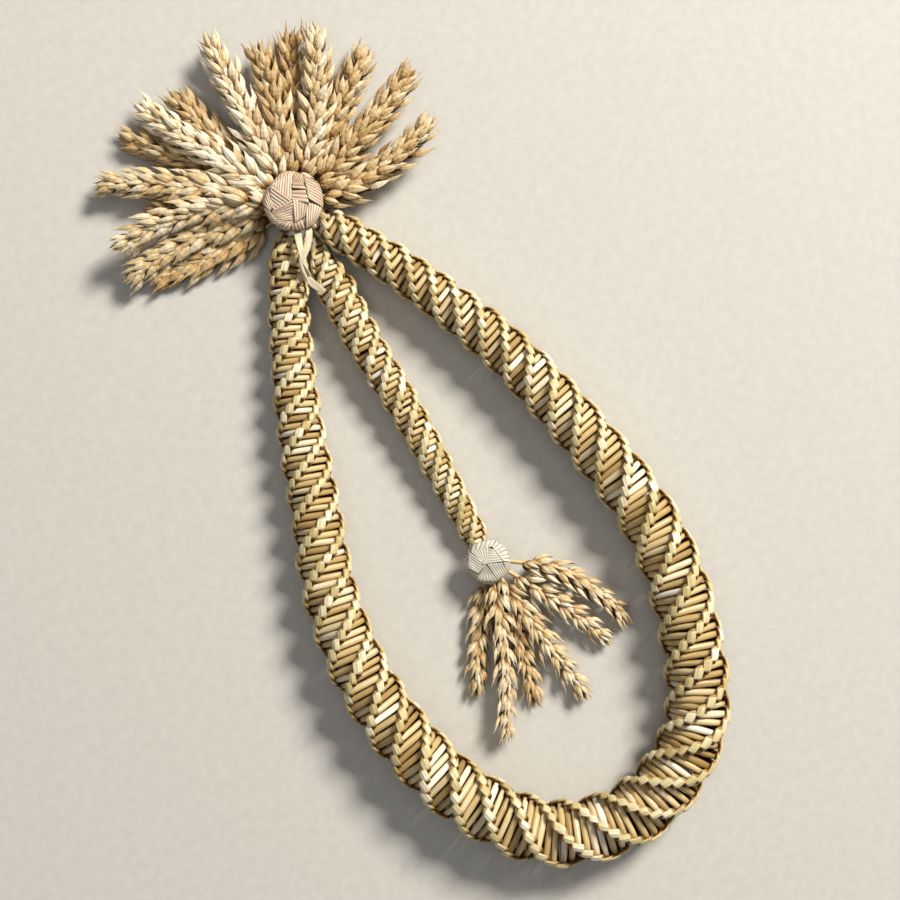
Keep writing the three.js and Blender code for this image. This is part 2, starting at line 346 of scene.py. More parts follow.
def threadFinish():
    # Brown waxed thread with a fine slanting twist.
    board = NodeBoard("boundThread")
    inputs = {"Vector": board.stretchedUv(1.0, 1.0), "Scale": 1.6, "Distortion": 1.0}
    twist = board.add("ShaderNodeTexWave", inputs).outputs["Fac"]
    colour = board.ramp(twist, [(0.2, paint("#5a3219")), (0.8, paint("#93613a"))])
    return board.finish(colour, 0.7, twist, 0.5, 0.0003, 0.3)


def floorFinish():
    # A pale matt table with a faint speckle.
    board = NodeBoard("paleTable")
    speck = board.noise(board.objectPoints(), 220.0, 4.0)
    colour = board.ramp(speck, [(0.3, paint("#bdb9b1")), (0.7, paint("#c4c0b8"))])
    return board.finish(colour, 0.85, speck, 0.1, 0.0003, 0.2)


straw = strawFinish()
wheat = wheatFinish()
# the third colour of each ribbon is the painted shade in its grooves
bigRibbon = ribbonFinish("blushRibbon", "#e8d4ba", "#ac8562", "#4a2a16")
smallRibbon = ribbonFinish("paleRibbon", "#d8d1c0", "#9d9582", "#776d5c")
tailRibbon = ribbonFinish("tailRibbon", "#dacfb0", "#8a6d42", "#6e4c2a")
thread = threadFinish()
print("finishes made")


# --- camera, light and table ---

# The camera looks straight down from a place given in mm from the tie.
view = {
    "east": 13.21, "north": -144.78, "height": 772.0, "turn": -27.0, "lens": 60.8, "film": 36.0,
    "near": 0.01, "far": 20.0,
}
lens = bpy.data.cameras.new("viewLens")
lens.lens, lens.sensor_width = view["lens"], view["film"]
lens.clip_start, lens.clip_end = view["near"], view["far"]
camera = bpy.data.objects.new("viewCamera", lens)
spot = (tieMiddle[0] + view["east"], tieMiddle[1] + view["north"], view["height"])
camera.location = [value * millimetre for value in spot]
camera.rotation_euler = (0, 0, math.radians(view["turn"]))
bpy.context.collection.objects.link(camera)
bpy.context.scene.camera = camera

lamps = {
    "key": {"azimuth": 22, "elevation": 40, "distance": 3.0, "size": 0.8, "power": 157,
            "colour": (1.0, 0.97, 0.91)},
    "fill": {"azimuth": 215, "elevation": 55, "distance": 3.0, "size": 2.2, "power": 7,
             "colour": (0.90, 0.95, 1.0)},
    "sky": {"azimuth": 90, "elevation": 80, "distance": 3.0, "size": 2.5, "power": 14,
            "colour": (1.0, 1.0, 1.0)},
}
room = {"colour": (0.95, 0.97, 1.0, 1), "strength": 0.13}
tableShape = {"reach": 3.0, "drop": 0.0003}  # in metres
for lampName, lamp in lamps.items():
    light = bpy.data.lights.new(lampName, "AREA")
    light.size, light.energy, light.color = lamp["size"], lamp["power"], lamp["colour"]
    holder = bpy.data.objects.new(lampName, light)
    (ca, sa), (ce, se) = turned(lamp["azimuth"]), turned(lamp["elevation"])
    holder.location = [lamp["distance"] * v for v in (ca * ce, sa * ce, se)]
    tilt, heading = 90 - lamp["elevation"], 90 + lamp["azimuth"]
    holder.rotation_euler = (math.radians(tilt), 0, math.radians(heading))
    bpy.context.collection.objects.link(holder)
world = bpy.data.worlds.new("softRoom")
world.use_nodes = True
background = world.node_tree.nodes["Background"]
background.inputs["Color"].default_value = room["colour"]
background.inputs["Strength"].default_value = room["strength"]
bpy.context.scene.world = world
bpy.context.scene.view_settings.view_transform = "Standard"

tableMesh = bpy.data.meshes.new("table")
reach, drop = tableShape["reach"], tableShape["drop"]
tableCorners = [(x * reach, y * reach, -drop) for x, y in ((-1, -1), (1, -1), (1, 1), (-1, 1))]
tableMesh.from_pydata(tableCorners, [], [(0, 1, 2, 3)])
tableMesh.materials.append(floorFinish())
table = bpy.data.objects.new("table", tableMesh)
bpy.context.collection.objects.link(table)
print("camera, light and table placed")


# --- spiral plaits ---

plaitShape = {
    "straws": 5, "sides": 8,
    "sink": 0.05,  # share of the radius pressed flat on the table
    "barThick": 1.25, "barBulge": 0.1,  # half thickness and outward bow of a bar
    "tabWidth": 4.1, "tabExtra": 0.5,  # a tab's width on a slim plait, and what a fat one adds
    "fatFrom": 10.5, "fatOver": 5,  # radius where a plait begins to be fat, and over how much more
    "tabLayers": 1.12, "crease": 1.9,
    "fullSize": 8.5,  # radius under which tabs and bars shrink with the plait
    "tone": 0.5, "toneSpread": 0.26,
}
# How far a straw strays: layers for a tab's start and end and a bar's lean, mm across, deep and
# for the bow, degrees for the way it faces, a share for its size.
stray = {
    "foldUp": 0.05, "foldOff": 0.06, "size": 0.07, "across": 0.16, "deep": 0.1, "facing": 5,
    "bow": 0.22, "lean": 0.04,
}
bigLoop = {
    "waypoints": [
        [6, -9], [14, -22], [38, -64], [60.5, -113], [77.5, -172], [86, -224], [79.5, -276],
        [57, -325], [16, -346.5], [-28, -337.5], [-58.5, -301], [-75.5, -242], [-74, -190],
        [-59.5, -138], [-42.5, -84], [-19, -29], [-8.4, -11],
    ],
    "endRadius": 9.6, "swell": 7.2, "taperLength": 13, "taper": 0.68,
    "quarterRatio": 1.237, "firstRidge": 65, "reachOn": 4.0,
    "layer": 3.4, "layerSwell": 0.45, "layerFrom": 12, "layerOver": 4.5,
    "slip": {"turn": 36, "at": 0.35, "spread": 0.085},  # the ridges lag a little half way down
    "meet": 0.545, "overlap": 0.0055,  # share of the way round where the two plaits meet
}
innerPlait = {
    "waypoints": [[-0.6, -15.6], [-0.8, -42], [-0.7, -74], [2.8, -117], [4.2, -158], [4.9, -197]],
    "topRadius": 10.6, "footRadius": 6.6, "narrowing": 1.7, "taperLength": 34, "taper": 0.42,
    "footTaperLength": 9, "footTaper": 0.7,
    "quarter": 12.7, "firstRidge": 45, "layer": 3.05, "reachOn": 1.0,
}
# One straw's way over a ridge, from the end of one bar to the start of the next. Columns:
# across in half tab widths, across in ridge pitches, rise from the fold in layers, depth below
# the ridge in mm, turn of the outward direction, turn of the strip's edge line, half width in
# half tab widths, half width in layers, half thickness, boxiness, tab share, and painted shade
# share where the straw goes under the tabs.
foldIn = np.array([
    [0.0, -0.55, -0.20, 2.15, -40, -90, 0.00, 0.40, 0.95, 2.3, 0.0, 0.60],
    [-0.5, 0.0, -0.10, 1.85, -12, -62, 0.35, 0.28, 0.60, 3.0, 0.5, 0.70],
    [-0.36, 0.0, -0.12, 1.6, 0, -8, 0.86, 0.00, 0.55, 5.0, 1.0, 0.30],
    [-0.3, 0.0, 0.10, 1.10, 0, 3, 0.96, 0.00, 0.60, 7.0, 1.0, 0.02],
])
foldMiddle = np.array([0.0, 0.0, 0.0, 0.98, 0, 3, 1.00, 0.00, 0.60, 7.0, 1.0, 0.0])
foldOut = np.array([
    [0.26, 0.0, -0.10, 1.02, 0, 4, 1.00, 0.00, 0.60, 7.0, 1.0, 0.00],
    [0.34, 0.0, 0.10, 1.18, 0, 6, 0.97, 0.00, 0.58, 6.0, 1.0, 0.00],
    [0.4, 0.0, 0.18, 1.6, 0, -6, 0.85, 0.00, 0.55, 4.0, 1.0, 0.25],
    [0.7, 0.0, 0.08, 1.80, 12, -62, 0.30, 0.26, 0.60, 3.0, 0.5, 0.40],
    [0.0, 0.55, 0.06, 1.95, 40, -90, 0.00, 0.43, 0.95, 2.3, 0.0, 0.15],
])
# The straight bar between two ridges. Columns: share of its length, half width in layers,
# share of the full thickness, painted shade share near its ends.
barRows = np.array([
    [0.10, 0.445, 0.90, 0.05], [0.26, 0.455, 1.00, 0.0], [0.50, 0.46, 1.00, 0.0],
    [0.74, 0.45, 1.00, 0.0], [0.90, 0.41, 0.86, 0.15],
])


def loopGauge(shape):
    # The loop's radius, how far its ridges have turned and its count of layers, at close steps.
    # Radius = end radius + swell * sin(pi * share), eased in near both ties.
    route = smoothRoute(shape["waypoints"]) + tieMiddle[:2]
    far = distanceAlong(route)
    share = far / far[-1]
    swollen = np.sin(math.pi * share)
    fromEnd = np.minimum(far, far[-1] - far)
    radius = shape["endRadius"] + shape["swell"] * swollen
    ease = smoothStep(fromEnd / shape["taperLength"])
    radius = radius * (shape["taper"] + (1 - shape["taper"]) * ease)
    turnRate = 90 / (shape["quarterRatio"] * radius)
    turn = np.concatenate([[0], np.cumsum((turnRate[1:] + turnRate[:-1]) / 2 * np.diff(far))])
    slip = shape["slip"]
    turn = turn - slip["turn"] * np.exp(-((share - slip["at"]) / slip["spread"]) ** 2)
    widening = smoothStep((radius - shape["layerFrom"]) / shape["layerOver"])
    layer = shape["layer"] + shape["layerSwell"] * widening
    return route, far, radius, turn, layer


def dropGauge(shape):
    # Radius = from the top radius to the foot radius by share ^ narrowing, eased at both ends.
    route = smoothRoute(shape["waypoints"]) + tieMiddle[:2]
    far = distanceAlong(route)
    share = far / far[-1]
    narrower = shape["footRadius"] - shape["topRadius"]
    radius = shape["topRadius"] + narrower * share ** shape["narrowing"]
    ease = smoothStep(far / shape["taperLength"])
    radius = radius * (shape["taper"] + (1 - shape["taper"]) * ease)
    footEase = smoothStep((far[-1] - far) / shape["footTaperLength"])
    radius = radius * (shape["footTaper"] + (1 - shape["footTaper"]) * footEase)
    return route, far, radius, far * 90 / shape["quarter"], np.full(len(far), shape["layer"])


def plaitStrands(gauge, firstRidge, part, backwards, reachOn):
    # Five straws plaited round and round. Straw number m mod 5 makes move m: it dives under the
    # tabs of a ridge, folds up into its own flat tab, folds again under the next tab and goes
    # straight over the face to the next ridge. A layer is four moves. A point lies at
    # angle = first ridge - 90 * m - the ridges' turn - across / radius, at radius - depth.
    route, far, radius, turn, layer = gauge
    keep = (far >= part[0] * far[-1]) & (far <= part[1] * far[-1])
    route, far, radius, turn, layer = (v[keep] for v in (route, far, radius, turn, layer))
    far = far - far[0]
    startAngle = firstRidge - turn[0]
    turn = turn - turn[0]
    if backwards:
        startAngle = 180 - (startAngle - turn[-1])
        route, radius, layer = route[::-1], radius[::-1], layer[::-1]
        far, turn = far[-1] - far[::-1], turn[-1] - turn[::-1]
    # the plait runs on straight for a few mm more at its last end
    turnRate = (turn[-1] - turn[-2]) / (far[-1] - far[-2])
    route = np.vstack([route, route[-1:] + unit(route[-1:] - route[-2:-1]) * reachOn])
    radius, layer = np.append(radius, radius[-1]), np.append(layer, layer[-1])
    far, turn = np.append(far, far[-1] + reachOn), np.append(turn, turn[-1] + turnRate * reachOn)
    layers = np.concatenate([[0], np.cumsum(np.diff(far) * 2 / (layer[1:] + layer[:-1]))])
    ahead = unit(np.gradient(route, axis=0))
    level = np.stack([ahead[:, 1], -ahead[:, 0]], -1)
    moves = int(layers[-1] * 4) - 6
    shape = plaitShape
    rows = np.vstack([foldIn, foldMiddle[None], foldOut])
    strands = []
    for strawNumber in range(shape["straws"]):
        own = np.arange(strawNumber, moves, shape["straws"])
        count = len(own)
        wobble = rng.normal(0, 1, (count, 6))
        foldUp = own / 4 + stray["foldUp"] * wobble[:, 0]
        foldOff = own / 4 + shape["tabLayers"] + stray["foldOff"] * wobble[:, 1]
        ridgeTurn = 90 * own + np.interp(own / 4 + shape["tabLayers"] / 2, layers, turn)
        base = np.hstack([
            np.repeat(foldUp[:, None], len(foldIn), 1), (foldUp + foldOff)[:, None] / 2,
            np.repeat(foldOff[:, None], len(foldOut), 1)])
        rise = base + rows[None, :, 2]
        here = np.interp(rise, layers, radius)
        thin = np.minimum(1, here / shape["fullSize"])
        size = 1 + stray["size"] * wobble[:, 2:3]
        fatness = smoothStep((here - shape["fatFrom"]) / shape["fatOver"])
        halfTab = (shape["tabWidth"] + shape["tabExtra"] * fatness) / 2 * thin * size
        turnHere = np.interp(rise + 0.5, layers, turn) - np.interp(rise - 0.5, layers, turn)
        pitch = here * np.radians(turnHere)
        across = rows[None, :, 0] * halfTab + rows[None, :, 1] * pitch
        across = across + stray["across"] * wobble[:, 3:4]
        deep = rows[None, :, 3] * thin + stray["deep"] * wobble[:, 4:5]
        angle = startAngle - ridgeTurn[:, None] - np.degrees(across / here)
        facing = startAngle - ridgeTurn[:, None] - rows[None, :, 4]
        facing = facing - stray["facing"] * wobble[:, 5:6]
        sideways = (here - deep) * np.cos(np.radians(angle))
        upward = (here - deep) * np.sin(np.radians(angle))
        layerHere = np.interp(rise, layers, layer)
        halfWidth = rows[None, :, 6] * halfTab + rows[None, :, 7] * layerHere * size
        halfThick = rows[None, :, 8] * thin * np.ones((count, 1))
        # the straight bar to the next ridge, bowed out a little by a sine
        share = barRows[None, :, 0]
        tabRows = (sideways, upward, rise)
        ends = [np.concatenate([v[1:, :1], v[-1:, -1:]]) for v in tabRows]
        bar = [v[:, -1:] + (end - v[:, -1:]) * share for v, end in zip(tabRows, ends)]
        barThin = np.minimum(1, np.interp(bar[2], layers, radius) / shape["fullSize"])
        out = (shape["barBulge"] + stray["bow"] * wobble[:, 4:5]) * np.sin(math.pi * share)
        bar = [v * (1 + out / np.maximum(np.hypot(bar[0], bar[1]), 3)) for v in bar[:2]] + [bar[2]]
        barFacing = startAngle - ridgeTurn[:, None] - 45 + 0 * share
        lean = rng.normal(0, stray["lean"], (count, 1))
        sideways, upward = np.hstack([sideways, bar[0]]), np.hstack([upward, bar[1]])
        rise = np.hstack([rise, bar[2] + lean])
        facing = np.hstack([facing, barFacing])
        barWidth = barRows[None, :, 1] * np.interp(bar[2], layers, layer) * size
        halfWidth = np.hstack([halfWidth, barWidth])
        halfThick = np.hstack([halfThick, barRows[None, :, 2] * shape["barThick"] * barThin * size])

        def spread(column, barColumn):
            # The same row of values, tab then bar, for every move.
            both = np.concatenate([column, barColumn])[None]
            return np.broadcast_to(both, (count, len(rows) + len(barRows)))

        def one(values):
            # All moves one after another, without the bar after the last tab.
            return values.reshape(-1)[:-len(barRows)]

        edge = spread(rows[:, 5], np.full(len(barRows), -90.0))
        boxy = spread(rows[:, 9], np.full(len(barRows), 2.1))
        fold = spread(rows[:, 10], np.zeros(len(barRows)))
        hidden = spread(rows[:, 11], barRows[:, 3])
        tone = shape["tone"] + shape["toneSpread"] * rng.normal(0, 1, (count, 1))
        tone = np.broadcast_to(np.clip(tone + 0.05 * rng.normal(), 0, 1), fold.shape)
        rise, sideways, upward, facing, edge = (
            one(v) for v in (rise, sideways, upward, facing, edge))
        radians = np.radians(facing)
        levelHere, aheadHere = (unit(readAt(rise, layers, v)) for v in (level, ahead))
        centreHeight = np.interp(rise, layers, radius) * (1 - shape["sink"])
        place = readAt(rise, layers, route) + levelHere * sideways[:, None]
        points = np.column_stack([place, centreHeight + upward])
        outward = np.column_stack([levelHere * np.cos(radians)[:, None], np.sin(radians)])
        sideDirection = np.column_stack([levelHere * np.sin(radians)[:, None], -np.cos(radians)])
        c, s = turned(edge)
        edgeLine = sideDirection * c[:, None]
        edgeLine[:, :2] += aheadHere * s[:, None]
        ringTurn = np.arange(shape["sides"]) / shape["sides"] * 2 * math.pi
        # painted shade on the sides and inner face of each straw, less on the tabs, joined with the
        # painted shade where the straw goes under the tabs
        underSideShade = np.clip((0.35 - np.sin(ringTurn)) / 1.1, 0, 1)[None, :]
        dark = np.maximum(one(hidden)[:, None], underSideShade * (1 - 0.6 * one(fold)[:, None]))
        # the boxy rows are the tab: creased there, and flat-sided where boxiest
        strands.append(sweepStrand(
            points, outward, one(halfWidth), one(halfThick), one(boxy), shape["sides"],
            across=edgeLine, crease=np.where(one(boxy) > 4.5, shape["crease"], 1.0),
            faceted=one(boxy) > 5.5, tone=one(tone)[:, None], fold=one(fold)[:, None], hidden=dark))
    return strands


loopNow = loopGauge(bigLoop)
meet, overlap = bigLoop["meet"], bigLoop["overlap"]
halves = (("right", (0, meet + overlap), True), ("left", (meet - overlap, 1), False))
for side, part, backwards in halves:
    strands = plaitStrands(loopNow, bigLoop["firstRidge"], part, backwards, bigLoop["reachOn"])
    buildPiece("loop_straws_" + side + "_a", strands[:3], straw, ["loop_plait"])
    buildPiece("loop_straws_" + side + "_b", strands[3:], straw, ["loop_plait"])
strands = plaitStrands(
    dropGauge(innerPlait), innerPlait["firstRidge"], (0, 1), True, innerPlait["reachOn"])
buildPiece("inner_plait_straws", strands, straw, ["drop_plait"])
print("plaits made")


# --- wheat ears ---

earShape = {
    "pitch": 4.7, "startGap": 0.5, "stalkRadius": 1.15, "topStart": 7.6, "lowerStart": 4.2,
    "topScale": 1.2, "lowerScale": 0.96, "lowerWidth": 0.86, "bareShare": 0.25,
    "stations": 60, "stalkEnd": 52,  # steps along the stalk, and the one where it ends in the ear
}
# Each row gives where the stalk leaves the tie and where the tip lies in degrees from +X, the
# tip's distance, the bow to its left, the heights of foot and tip, the bare stalk's length, the
# roll of the ear, its tone from brown (0) to ivory (1), and the length of its awns.
topEars = [
    [98, 91, 96, 0, 13, 11, 14, 0, 0.72, 1.2],
    [74, 77, 84, -2, 12.8, 10, 18, 20, 0.42, 1.5],
    [44, 58, 91, -5, 13.4, 13, 14, 10, 0.6, 1.2],
    [69, 65.6, 89, 0, 3.4, 4.2, 30, 0, 0.22, 2.5],
    [29, 38.8, 88, 1, 7, 6.4, 28, 0, 0.45, 1.2],
    [54, 52.3, 73, -1, 3.1, 3.8, 34, 0, 0.25, 1.5],
    [12, 22, 91, -2, 13, 12, 17, 0, 0.42, 1.2],
    [-14, 5.5, 82, -7, 12.2, 10, 17, 15, 0.5, 1.5],
    [109, 110.5, 86, 2, 3.6, 4.4, 28, 0, 0.4, 1.5],
    [121, 121, 95, 1, 13, 10, 16, 0, 0.78, 1.2],
    [131, 132, 97, -2, 4, 4.6, 24, 20, 0.4, 1.5],
    [139, 147.5, 102, -3, 11.4, 9, 18, 0, 0.62, 1.2],
    [152, 155, 78, -1, 3.4, 4, 30, 10, 0.35, 1.5],
    [157, 168.5, 93, -8, 16.2, 17, 15, 30, 0.68, 1.2],
    [173, 177, 94, -5, 9.8, 9.6, 20, 20, 0.58, 1.2],
    [187, 180.5, 84, 2, 3.4, 3.6, 26, 0, 0.45, 1.5],
]
lowerEars = [
    [-26, -51.6, 79, 9, 9.6, 5.1, 44, 40, 0.6, 0.8],
    [-52, -61, 76, 2, 8.6, 4.5, 36, 0, 0.66, 0.8],
    [-76.6, -80.7, 87, -1, 7.6, 4.9, 20, 10, 0.62, 2.2],
    [-90, -98.5, 78, 2, 3.1, 3.4, 40, 0, 0.42, 2.2],
    [-103, -111.5, 92, 3, 9.4, 8.4, 24, 30, 0.64, 2.2],
    [-128, -121, 70, -1, 4, 4, 30, 0, 0.5, 0.8],
]
# The scales of one spikelet. Columns: start along and outward, height, outward and upward
# slant in degrees, length, width, half thickness, and lean of its back outward in degrees.
husks = np.array([
    [0.0, 0.7, 1.0, 9, 9, 9.4, 4.7, 0.95, 34],
    [1.2, 0.2, 1.9, -3, 12, 11.0, 4.0, 0.90, 8],
    [2.2, -1.2, 1.6, -15, 8, 10.6, 3.7, 0.85, -18],
    [3.0, 0.8, 0.0, 4, 0, 11.6, 3.8, 1.40, 75],
    [0.0, 0.7, -1.2, 7, -9, 9.4, 4.6, 1.00, 146],
    [1.8, -0.8, -1.7, -9, -9, 10.6, 4.0, 0.95, 186],
])
huskRings = np.array([0.0, 0.12, 0.3, 0.52, 0.74, 0.9, 1.0])
huskOutline = np.array([0.42, 0.78, 1.0, 0.94, 0.64, 0.27, 0.03])
huskSides = 8
# The last spikelet's scales. Columns: outward and upward slant in degrees, start along in mm.
tipHusks = np.array([
    [-24, 4, 0.0], [-8, 12, 0.8], [9, -4, 1.2], [25, 5, 0.2], [1, -12, 0.5],
])
tipSize = {"back": 9.5, "length": 8.4, "width": 2.9, "thick": 1.1}


def huskParts(foot, axis, back, length, width, thick, awn, tone):
    # Many boat-shaped scales at once. The half width follows the outline table, the back is
    # keeled and arches up by a sine, and the last ring draws out to an awn.
    count = len(foot)
    back = unit(back - (back * axis).sum(1, keepdims=True) * axis)
    side = np.cross(axis, back)
    t = huskRings
    turn = np.arange(huskSides) / huskSides * 2 * math.pi
    keel = np.where(np.sin(turn) > 0.9, 1.45, 1.0)
    cs = np.cos(turn)
    sn = np.where(np.sin(turn) > 0, np.sin(turn) * keel, 0.5 * np.sin(turn))
    reachAt = length[:, None] * t[None, :] + awn[:, None] * (t == 1)[None, :]
    arch = (0.1 * length)[:, None] * (np.sin(math.pi * t) - 0.35 * t ** 2)[None, :]
    middle = foot[:, None] + axis[:, None] * reachAt[..., None] + back[:, None] * arch[..., None]
    halfWidth = width[:, None] / 2 * huskOutline[None, :]
    halfThick = thick[:, None] * huskOutline[None, :]
    ring = middle[:, :, None] + side[:, None, None] * (halfWidth[..., None] * cs)[..., None]
    ring = ring + back[:, None, None] * (halfThick[..., None] * sn)[..., None]
    # painted shade: the reach mark is lowered on the scale's underside, where the wheat finish darkens it
    under = np.clip(0.45 - np.sin(turn), 0, 1)[None, :] * 0.6
    reach = np.clip(t[:, None] - under, 0, 1)
    roundUv = np.linspace(0, 1, huskSides + 1)
    return [gridPart(ring[k], reachAt[k], roundUv, tone=np.full((1, 1), tone[k]), reach=reach,
                     faceted=True) for k in range(count)]


def wheatEar(row, centre, startRadius, scale, plump):
    # A stalk that bends along a curve from the tie to the tip, with spikelets on its left and
    # right in turn, each a fan of husks, and one more at the tip.
    leave, toward, reach, bow, footHeight, tipHeight, bare, roll, tone, awnLength = row
    bare = bare * earShape["bareShare"]
    (cl, sl), (ct, st) = turned(leave), turned(toward)
    start = np.array([cl * startRadius, sl * startRadius, footHeight])
    tip = np.array([ct * reach, st * reach, tipHeight])
    chord = tip - start
    leftward = unit(np.array([-chord[1], chord[0], 0.0]))
    middle = (start + tip) / 2 + leftward * 2 * bow
    middle[2] = max(footHeight, tipHeight)
    t = np.linspace(0, 1, earShape["stations"])[:, None]
    path = (1 - t) ** 2 * start + 2 * t * (1 - t) * middle + t ** 2 * tip
    path = path + np.array([centre[0], centre[1], 0])
    far = distanceAlong(path)
    length = far[-1]
    tangent = unit(np.gradient(path, axis=0))
    level = unit(np.cross(tangent, [0, 0, 1.0]))
    upright = np.cross(level, tangent)
    cr, sr = turned(roll)
    sideAxis = level * cr + upright * sr
    backAxis = -level * sr + upright * cr
    stalkRadius = earShape["stalkRadius"] * (1 - 0.5 * smoothStep((far - bare) / (length - bare)))
    stalk, stalkUp, half = (v[:earShape["stalkEnd"]] for v in (path, upright, stalkRadius))
    parts = [sweepStrand(stalk, stalkUp, half, half, 2.0, 8, tone=tone * 0.8, reach=0.4)]
    number = int(round((length - bare - 5) / earShape["pitch"]))
    place = bare + 1.0 + (np.arange(number) + 0.2) * (length - bare - 9) / number
    side = np.where(np.arange(number) % 2 == 0, 1.0, -1.0)
    at = readAt(place, far, path)
    t3, s3, b3 = (unit(readAt(place, far, v)) for v in (tangent, sideAxis, backAxis))
    share = (place - bare) / (length - bare)
    size = scale * (0.98 - 0.3 * share ** 1.6) * (0.8 + 0.2 * smoothStep(share / 0.12))
    slant = np.radians(29 - 12 * share + rng.normal(0, 3, number))
    for husk in husks:
        ahead, out, high, yaw, pitch, long, wide, thick, lean = husk
        yawNow = slant + np.radians(yaw) + rng.normal(0, 0.06, number)
        pitchNow = np.radians(pitch) + rng.normal(0, 0.06, number)
        flatAxis = t3 * np.cos(yawNow)[:, None] + s3 * (side * np.sin(yawNow))[:, None]
        axis = unit(flatAxis * np.cos(pitchNow)[:, None] + b3 * np.sin(pitchNow)[:, None])
        outward = s3 * side[:, None]
        leanNow = np.radians(lean + rng.normal(0, 8, number))[:, None]
        back = b3 * np.cos(leanNow) + outward * np.sin(leanNow)
        foot = at + flatAxis * (ahead * size)[:, None]
        foot = foot + outward * ((out + 0.5) * plump * size)[:, None]
        foot = foot + b3 * (high * size)[:, None]
        grow = size * (1 + rng.normal(0, 0.07, number))
        awn = np.abs(rng.normal(0.5, 0.5, number)) * awnLength + awnLength * share ** 2
        husksTone = np.clip(tone + rng.normal(0, 0.12, number), 0, 1)
        parts += huskParts(foot, axis, back, long * grow, wide * plump * grow,
                           thick * plump * grow, awn, husksTone)
    # the last spikelet opens straight ahead
    tips = len(tipHusks)
    yaws, pitches = np.radians(tipHusks[:, 0]), np.radians(tipHusks[:, 1])
    tipFoot = np.array([length - tipSize["back"] * scale])
    foot = np.repeat(readAt(tipFoot, far, path), tips, axis=0)
    foot = foot + tangent[-1] * tipHusks[:, 2:]
    flatAxis = tangent[-1] * np.cos(yaws)[:, None] + sideAxis[-1] * np.sin(yaws)[:, None]
    axis = unit(flatAxis * np.cos(pitches)[:, None] + backAxis[-1] * np.sin(pitches)[:, None])
    back = backAxis[-1] * np.sign(pitches + 0.001)[:, None] + sideAxis[-1] * (yaws * 2)[:, None]
    awn = np.abs(rng.normal(0.8, 0.4, tips)) * awnLength
    long, wide, thick = (np.full(tips, tipSize[k]) * scale for k in ("length", "width", "thick"))
    parts += huskParts(foot, axis, back, long, wide * plump, thick, awn, np.full(tips, tone))
    return parts


bunches = (
    ("top_ear", topEars, tieMiddle, earShape["topStart"], earShape["topScale"], 1.0),
    ("lower_ear", lowerEars, lowerMiddle, earShape["lowerStart"], earShape["lowerScale"],
     earShape["lowerWidth"]),
)
for prefix, rows, centre, startRadius, scale, plump in bunches:
    for index, row in enumerate(rows):
        node = "%s_%02d" % (prefix, index + 1)
        parts = wheatEar(row, centre, startRadius + earShape["startGap"], scale, plump)
        buildPiece(node + "_wheat", parts, wheat, [node])
print("ears made")


# --- ribbon knots ---

ribbonShape = {
    "thick": 1.0, "rowsAlong": 11, "perSplint": 4,
    "rimFrom": 0.85, "rimGive": 0.19,  # shares of the radius where folds bend in to the outline
    "clear": 0.05,  # share of the height that a fold keeps above the cushion
    "rib": 0.2, "scallop": 0.08, "swirl": 0.6,
}


def ribbonFold(corners, splints, bulge, tone, shape, centre):
    # A folded stretch of the band between four corners: a straight-sided patch that arches up
    # by a sine along and across, with a rounded splint every step across, closed underneath.
    # It lies on or above the cushion, and its outer parts bend in to the knot's round outline.
    a, b, c, d = (np.array(p, float) for p in corners)
    splints = int(round(splints * shape["splintShare"]))
    steps = splints * ribbonShape["perSplint"] + 1
    u = np.linspace(0, 1, ribbonShape["rowsAlong"])[:, None, None]
    v = np.linspace(0, 1, steps)[None, :, None]
    face = (a * (1 - u) + b * u) * (1 - v) + (d * (1 - u) + c * u) * v
    away = np.linalg.norm(face[..., :2], axis=-1, keepdims=True) / shape["radius"]
    rimFrom, rimGive = ribbonShape["rimFrom"], ribbonShape["rimGive"]
    held = np.where(away < rimFrom, away, rimFrom + rimGive * np.tanh((away - rimFrom) / rimGive))
    face[..., :2] *= held / np.maximum(away, 1e-6)
    cushion = np.interp(held, cushionProfile[::-1, 0], cushionProfile[::-1, 1])
    cushion = shape["bottom"] + shape["height"] * (cushion + ribbonShape["clear"])
    face[..., 2:] = np.maximum(face[..., 2:], cushion)
    rise = bulge * np.sin(math.pi * (0.1 + 0.8 * u)) * (0.85 + 0.15 * np.sin(math.pi * v))
    splint = np.abs(np.sin(math.pi * splints * v)) ** 0.6
    top = face + np.array([0, 0, 1.0]) * (rise + shape["ribDepth"] * splint)
    under = face + np.array([0, 0, 1.0]) * (rise - ribbonShape["thick"])
    rings = np.concatenate([top, under[:, ::-1]], axis=1) + np.array([centre[0], centre[1], 0])
    # painted shade: dark in the grooves between splints and all over the fold's underside
    groove = np.concatenate([splint[0, :, 0], np.zeros(steps)])
    number = np.concatenate([np.floor(v[0, :, 0] * splints * 0.999), np.zeros(steps)])
    if np.cross(b - a, d - a)[2] > 0:
        rings, groove, number = rings[:, ::-1], groove[::-1], number[::-1]
    shade = tone + 0.3 * (np.modf(number * 0.618)[0] - 0.5)
    uAt = np.linspace(0, float(np.linalg.norm(b - a)), ribbonShape["rowsAlong"])
    return gridPart(rings, uAt, np.linspace(0, 2, 2 * steps + 1), tone=shade[None, :],
                    groove=groove[None, :])


# The cushion's outline from its foot up and in: share of the radius, share of the height.
cushionProfile = np.array([
    [1.0, 0.3], [0.97, 0.48], [0.86, 0.62], [0.68, 0.68], [0.4, 0.7], [0.02, 0.72],
])


